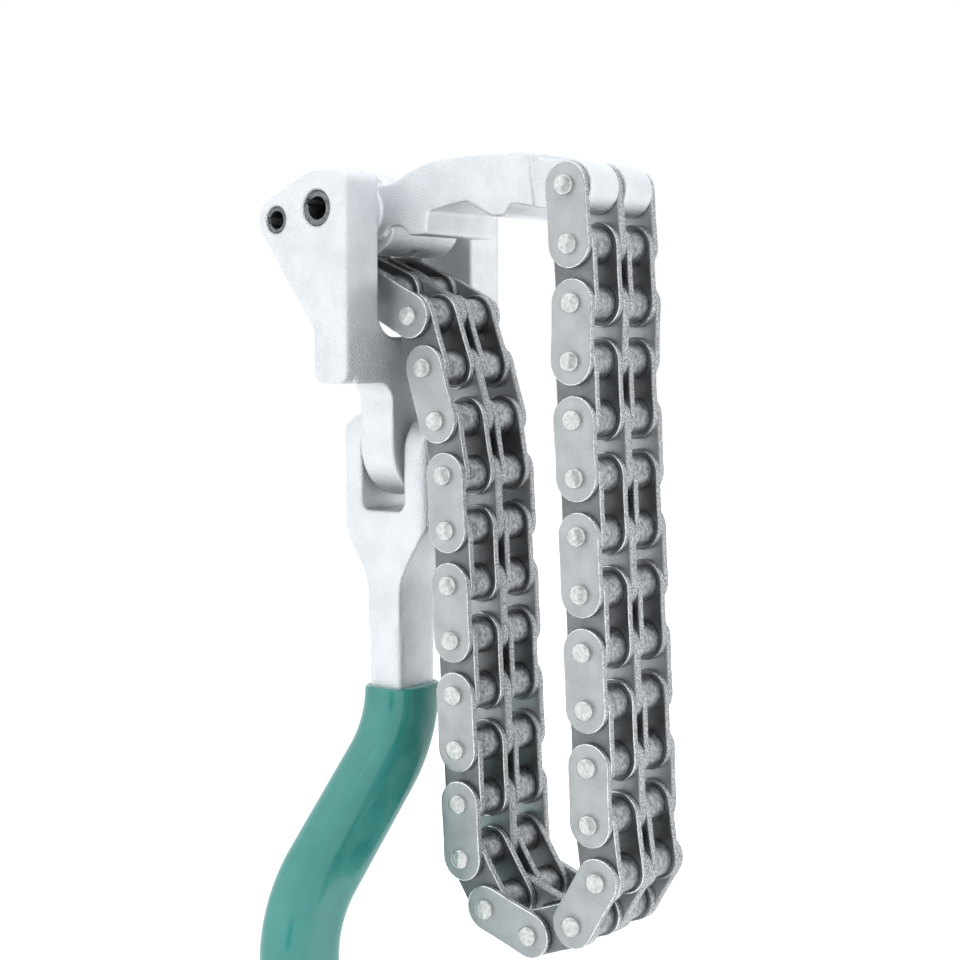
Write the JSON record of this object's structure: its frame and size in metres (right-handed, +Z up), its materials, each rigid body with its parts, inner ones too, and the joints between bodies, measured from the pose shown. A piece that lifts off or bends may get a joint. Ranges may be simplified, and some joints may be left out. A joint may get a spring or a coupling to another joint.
{
  "type": "chain oil filter wrench",
  "caption": "Filter wrench whose duplex roller chain loops between a forged swivel head and a toothed jaw arm, on a cranked handle with a dipped grip.",
  "frame": {"origin": "middle of the straight hand grip, on its centre line", "axes": "+Z up the handle towards the head, +X along the swivel pin from the head towards the jaw arm, +Y along the chain pins"},
  "size_m": [0.0911, 0.0797, 0.2871],
  "materials": {
    "satin_forging": "satin plated forging with a fine grain",
    "green_vinyl": "glossy dipped vinyl",
    "pin_steel": "turned steel",
    "dark_spring_steel": "hardened spring steel",
    "chain_steel": "plated chain steel"
  },
  "bodies": {
    "handle_body": {"handle": "satin_forging", "vinyl_grip": "green_vinyl", "swivel_pin": "pin_steel"},
    "head": {"head_yoke": "satin_forging", "arm_pivot_spring_pin": "dark_spring_steel", "chain_anchor_spring_pin": "dark_spring_steel", "anchor_link": "chain_steel"},
    "arm": {"jaw_arm": "satin_forging"},
    "right_top": {"outer_link_01": "chain_steel", "inner_link_01": "chain_steel", "outer_link_02": "chain_steel"},
    "right_strand_1": {"inner_link_02": "chain_steel"},
    "right_strand_2": {"outer_link_03": "chain_steel"},
    "right_strand_3": {"inner_link_03": "chain_steel"},
    "right_strand_4": {"outer_link_04": "chain_steel"},
    "right_strand_5": {"inner_link_04": "chain_steel"},
    "right_strand_6": {"outer_link_05": "chain_steel"},
    "right_strand_7": {"inner_link_05": "chain_steel"},
    "right_bottom": {"outer_link_06": "chain_steel"},
    "bottom_bend": {"inner_link_06": "chain_steel", "outer_link_07": "chain_steel", "inner_link_07": "chain_steel", "outer_link_08": "chain_steel", "inner_link_08": "chain_steel"},
    "left_start": {"inner_link_14": "chain_steel", "outer_link_14": "chain_steel"},
    "left_top": {"inner_link_13": "chain_steel", "outer_link_13": "chain_steel", "inner_link_12": "chain_steel"},
    "left_strand_1": {"outer_link_12": "chain_steel"},
    "left_strand_2": {"inner_link_11": "chain_steel"},
    "left_strand_3": {"outer_link_11": "chain_steel"},
    "left_strand_4": {"inner_link_10": "chain_steel"},
    "left_strand_5": {"outer_link_10": "chain_steel"},
    "left_strand_6": {"inner_link_09": "chain_steel"},
    "left_strand_7": {"outer_link_09": "chain_steel"}
  },
  "joints": [
    {"name": "head_swivel", "type": "hinge", "parent": "handle_body", "child": "head", "pos_m": [0, 0.04091, 0.16772], "axis": [1, 0, 0], "range_deg": [-45, 45]},
    {"name": "arm_swing", "type": "hinge", "parent": "head", "child": "arm", "pos_m": [-0.0039, 0.04091, 0.22247], "axis": [0, -1, 0], "range_deg": [0, 15]},
    {"name": "tip_link_pivot", "type": "hinge", "parent": "arm", "child": "right_top", "pos_m": [0.0547, 0.04091, 0.22572], "axis": [0, -1, 0], "range_deg": [-15, 0]},
    {"name": "loop_sway", "type": "hinge", "parent": "right_top", "child": "right_strand_1", "pos_m": [0.05636, 0.04091, 0.18769], "axis": [0, -1, 0], "range_deg": [-2, 6]},
    {"name": "right_pivot_02", "type": "hinge", "parent": "right_strand_1", "child": "right_strand_2", "pos_m": [0.05707, 0.04091, 0.17501], "axis": [0, -1, 0], "range_deg": [-2, 6]},
    {"name": "right_pivot_03", "type": "hinge", "parent": "right_strand_2", "child": "right_strand_3", "pos_m": [0.05778, 0.04091, 0.16233], "axis": [0, -1, 0], "range_deg": [-2, 6]},
    {"name": "right_pivot_04", "type": "hinge", "parent": "right_strand_3", "child": "right_strand_4", "pos_m": [0.05849, 0.04091, 0.14965], "axis": [0, -1, 0], "range_deg": [-2, 6]},
    {"name": "right_pivot_05", "type": "hinge", "parent": "right_strand_4", "child": "right_strand_5", "pos_m": [0.0592, 0.04091, 0.13697], "axis": [0, -1, 0], "range_deg": [-6, 2]},
    {"name": "right_pivot_06", "type": "hinge", "parent": "right_strand_5", "child": "right_strand_6", "pos_m": [0.0599, 0.04091, 0.12429], "axis": [0, -1, 0], "range_deg": [-6, 2]},
    {"name": "right_pivot_07", "type": "hinge", "parent": "right_strand_6", "child": "right_strand_7", "pos_m": [0.06061, 0.04091, 0.11161], "axis": [0, -1, 0], "range_deg": [-6, 2]},
    {"name": "right_pivot_08", "type": "hinge", "parent": "right_strand_7", "child": "right_bottom", "pos_m": [0.06132, 0.04091, 0.09893], "axis": [0, -1, 0], "range_deg": [-6, 2]},
    {"name": "bend_pivot", "type": "hinge", "parent": "right_bottom", "child": "bottom_bend", "pos_m": [0.06183, 0.04091, 0.08624], "axis": [0, -1, 0], "range_deg": [0, 15]},
    {"name": "anchor_link_pivot", "type": "hinge", "parent": "head", "child": "left_start", "pos_m": [-0.01195, 0.04091, 0.20836], "axis": [0, -1, 0], "range_deg": [0, 15]},
    {"name": "left_top_pivot", "type": "hinge", "parent": "left_start", "child": "left_top", "pos_m": [0.01119, 0.04091, 0.19792], "axis": [0, -1, 0], "range_deg": [-15, 0]},
    {"name": "left_pivot_01", "type": "hinge", "parent": "left_top", "child": "left_strand_1", "pos_m": [0.02141, 0.04091, 0.1613], "axis": [0, -1, 0], "range_deg": [-2, 6]},
    {"name": "left_pivot_02", "type": "hinge", "parent": "left_strand_1", "child": "left_strand_2", "pos_m": [0.02212, 0.04091, 0.14862], "axis": [0, -1, 0], "range_deg": [-2, 6]},
    {"name": "left_pivot_03", "type": "hinge", "parent": "left_strand_2", "child": "left_strand_3", "pos_m": [0.02283, 0.04091, 0.13594], "axis": [0, -1, 0], "range_deg": [-2, 6]},
    {"name": "left_pivot_04", "type": "hinge", "parent": "left_strand_3", "child": "left_strand_4", "pos_m": [0.02354, 0.04091, 0.12326], "axis": [0, -1, 0], "range_deg": [-2, 6]},
    {"name": "left_pivot_05", "type": "hinge", "parent": "left_strand_4", "child": "left_strand_5", "pos_m": [0.02424, 0.04091, 0.11058], "axis": [0, -1, 0], "range_deg": [-6, 2]},
    {"name": "left_pivot_06", "type": "hinge", "parent": "left_strand_5", "child": "left_strand_6", "pos_m": [0.02495, 0.04091, 0.0979], "axis": [0, -1, 0], "range_deg": [-6, 2]},
    {"name": "left_pivot_07", "type": "hinge", "parent": "left_strand_6", "child": "left_strand_7", "pos_m": [0.02566, 0.04091, 0.08522], "axis": [0, -1, 0], "range_deg": [-6, 2]}
  ],
  "couplings": [
    {"joint": "tip_link_pivot", "follows": "arm_swing", "ratio": -1},
    {"joint": "right_pivot_02", "follows": "loop_sway", "ratio": 1},
    {"joint": "right_pivot_03", "follows": "loop_sway", "ratio": 1},
    {"joint": "right_pivot_04", "follows": "loop_sway", "ratio": 1},
    {"joint": "right_pivot_05", "follows": "loop_sway", "ratio": -1},
    {"joint": "right_pivot_06", "follows": "loop_sway", "ratio": -1},
    {"joint": "right_pivot_07", "follows": "loop_sway", "ratio": -1},
    {"joint": "right_pivot_08", "follows": "loop_sway", "ratio": -1},
    {"joint": "bend_pivot", "follows": "arm_swing", "ratio": 1},
    {"joint": "anchor_link_pivot", "follows": "arm_swing", "ratio": 1},
    {"joint": "left_top_pivot", "follows": "arm_swing", "ratio": -1},
    {"joint": "left_pivot_01", "follows": "loop_sway", "ratio": 1},
    {"joint": "left_pivot_02", "follows": "loop_sway", "ratio": 1},
    {"joint": "left_pivot_03", "follows": "loop_sway", "ratio": 1},
    {"joint": "left_pivot_04", "follows": "loop_sway", "ratio": 1},
    {"joint": "left_pivot_05", "follows": "loop_sway", "ratio": -1},
    {"joint": "left_pivot_06", "follows": "loop_sway", "ratio": -1},
    {"joint": "left_pivot_07", "follows": "loop_sway", "ratio": -1}
  ]
}
